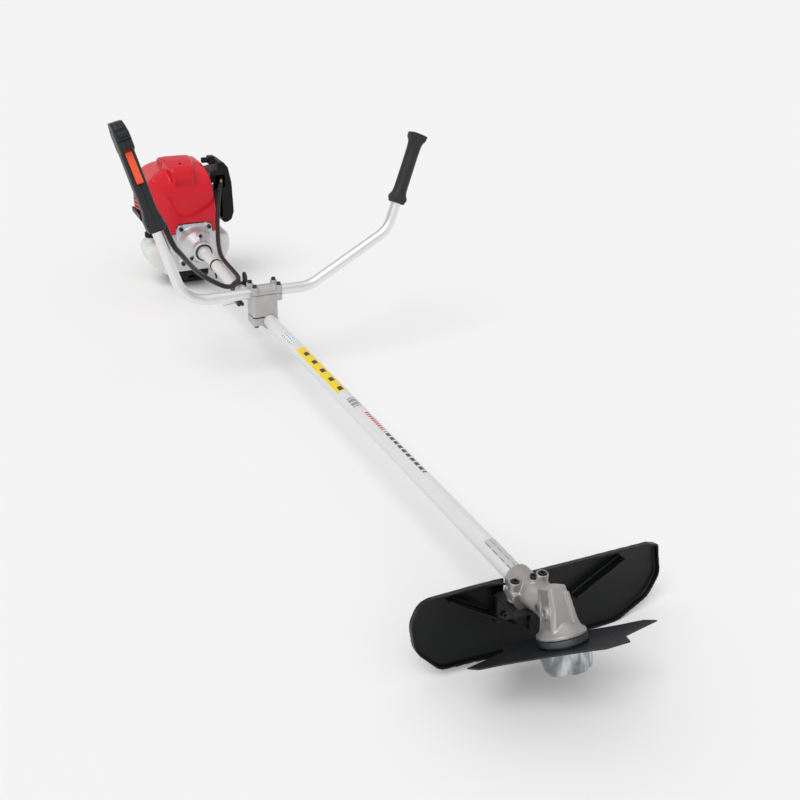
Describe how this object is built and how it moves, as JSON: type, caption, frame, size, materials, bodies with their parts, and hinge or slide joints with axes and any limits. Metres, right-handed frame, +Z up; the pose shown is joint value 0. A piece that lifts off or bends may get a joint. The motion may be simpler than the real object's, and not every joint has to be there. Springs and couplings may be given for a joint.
{
  "type": "brush cutter",
  "caption": "Petrol brush cutter with a straight drive tube, U handlebar, throttle handle, curved guard, toothed steel blade with a bell cup, and an engine with a red cover.",
  "frame": {"origin": "centre of the engine stand's foot, on the floor", "axes": "+X along the level drive tube towards the blade, +Y the operator's left, +Z up"},
  "size_m": [1.8694, 0.6674, 0.5421],
  "materials": {
    "tube_grey": "satin",
    "steel": "satin",
    "screw_steel": "satin",
    "bush_rubber": "matte",
    "cast_aluminium": "satin",
    "zinc_plate": "satin",
    "blade_grey": "satin",
    "black_steel": "satin",
    "guard_black": "matte",
    "bar_aluminium": "polished",
    "grip_rubber": "matte",
    "handle_black": "satin",
    "trigger_red": "gloss",
    "cover_red": "gloss",
    "conduit_black": "satin",
    "brass": "satin",
    "tank_white": "satin",
    "plug_white": "gloss"
  },
  "bodies": {
    "frame": {"air_cleaner_case": "guard_black", "air_cleaner_cover": "guard_black", "bearings": "steel", "breather_elbow": "guard_black", "cable_adjuster": "brass", "cable_ties": "guard_black", "carburettor": "cast_aluminium", "clamp_base": "cast_aluminium", "clamp_cap": "cast_aluminium", "clamp_screws": "screw_steel", "clutch_housing": "cast_aluminium", "crankcase": "cast_aluminium", "cylinder": "cast_aluminium", "fuel_tank": "tank_white", "gearcase": "cast_aluminium", "grease_plug": "steel", "guard": "guard_black", "guard_bracket": "black_steel", "guard_screws": "screw_steel", "handle_screws": "screw_steel", "handle_shell_inner": "handle_black", "handle_shell_outer": "handle_black", "handlebar": "bar_aluminium", "harness_bolt": "steel", "harness_clamp": "zinc_plate", "head_screws": "screw_steel", "housing_screws": "screw_steel", "isolator_ring": "bush_rubber", "left_grip": "grip_rubber", "lower_shroud": "guard_black", "main_tube": "tube_grey", "muffler": "black_steel", "recoil_cover": "guard_black", "shaft_bushes": "bush_rubber", "spark_plug": "plug_white", "stand": "guard_black", "throttle_cable": "conduit_black", "top_cover": "cover_red"},
    "drive_line": {"drive_shaft": "steel", "clutch_drum": "steel", "bevel_pinion": "steel"},
    "spindle": {"output_shaft": "steel", "bevel_gear": "steel", "blade_holder": "cast_aluminium", "blade": "blade_grey", "lower_holder": "cast_aluminium", "stabiliser_cup": "zinc_plate", "blade_nut": "screw_steel"},
    "crank": {"crankshaft": "steel", "flywheel": "cast_aluminium", "clutch_shoes": "black_steel"},
    "piston": {"piston": "cast_aluminium"},
    "trigger": {"throttle_trigger": "trigger_red"},
    "lock": {"lock_lever": "handle_black"},
    "switch": {"stop_switch": "handle_black"},
    "carburettor_throttle": {"throttle_arm": "steel"},
    "choke": {"choke_lever": "guard_black"},
    "reel": {"starter_reel": "guard_black"},
    "pull_grip": {"starter_grip": "guard_black"},
    "tank_cap": {"fuel_cap": "guard_black"}
  },
  "joints": [
    {"name": "blade_spin", "type": "hinge", "parent": "frame", "child": "spindle", "pos_m": [1.7126, 0, 0.126], "axis": [-0.5299, 0, 0.848], "continuous": true},
    {"name": "drive_spin", "type": "hinge", "parent": "frame", "child": "drive_line", "pos_m": [1.7126, 0, 0.126], "axis": [1, 0, 0], "continuous": true},
    {"name": "crank_spin", "type": "hinge", "parent": "frame", "child": "crank", "pos_m": [0, 0, 0.126], "axis": [1, 0, 0], "continuous": true},
    {"name": "piston_slide", "type": "slide", "parent": "frame", "child": "piston", "axis": [0, 0, 1], "range_m": [0, 0.026]},
    {"name": "trigger_squeeze", "type": "hinge", "parent": "frame", "child": "trigger", "pos_m": [0.59796, -0.25353, 0.49331], "axis": [-0.0434, 0.9682, 0.2464], "range_deg": [0, 12], "stiffness_Nm_per_rad": 1.5, "springref_deg": -5.73},
    {"name": "lock_squeeze", "type": "hinge", "parent": "frame", "child": "lock", "pos_m": [0.58196, -0.24802, 0.46886], "axis": [0.0434, -0.9682, -0.2464], "range_deg": [0, 8], "stiffness_Nm_per_rad": 0.6, "springref_deg": -5.73},
    {"name": "stop_rock", "type": "hinge", "parent": "frame", "child": "switch", "pos_m": [0.60583, -0.25941, 0.5178], "axis": [-0.0434, 0.9682, 0.2464], "range_deg": [0, 20]},
    {"name": "throttle_turn", "type": "hinge", "parent": "frame", "child": "carburettor_throttle", "pos_m": [0.047, 0.047, 0.2734], "axis": [0, 0, 1], "range_deg": [-75, 0]},
    {"name": "choke_turn", "type": "hinge", "parent": "frame", "child": "choke", "pos_m": [0.0657, 0.07, 0.192], "axis": [1, 0, 0], "range_deg": [0, 60]},
    {"name": "starter_pull", "type": "slide", "parent": "frame", "child": "pull_grip", "axis": [0, 0.7071, 0.7071], "range_m": [0, 0.3], "stiffness_N_per_m": 12, "springref_m": -0.3},
    {"name": "reel_turn", "type": "hinge", "parent": "frame", "child": "reel", "pos_m": [-0.054, 0, 0.126], "axis": [1, 0, 0], "range_deg": [0, 720]},
    {"name": "cap_unscrew", "type": "hinge", "parent": "frame", "child": "tank_cap", "pos_m": [0.03, -0.092, 0.13], "axis": [0, 0, 1], "range_deg": [0, 270]}
  ],
  "couplings": [
    {"joint": "drive_spin", "follows": "blade_spin", "ratio": 1.2667},
    {"joint": "throttle_turn", "follows": "trigger_squeeze", "ratio": -6.25},
    {"joint": "reel_turn", "follows": "starter_pull", "rad_per_m": 41.667}
  ]
}
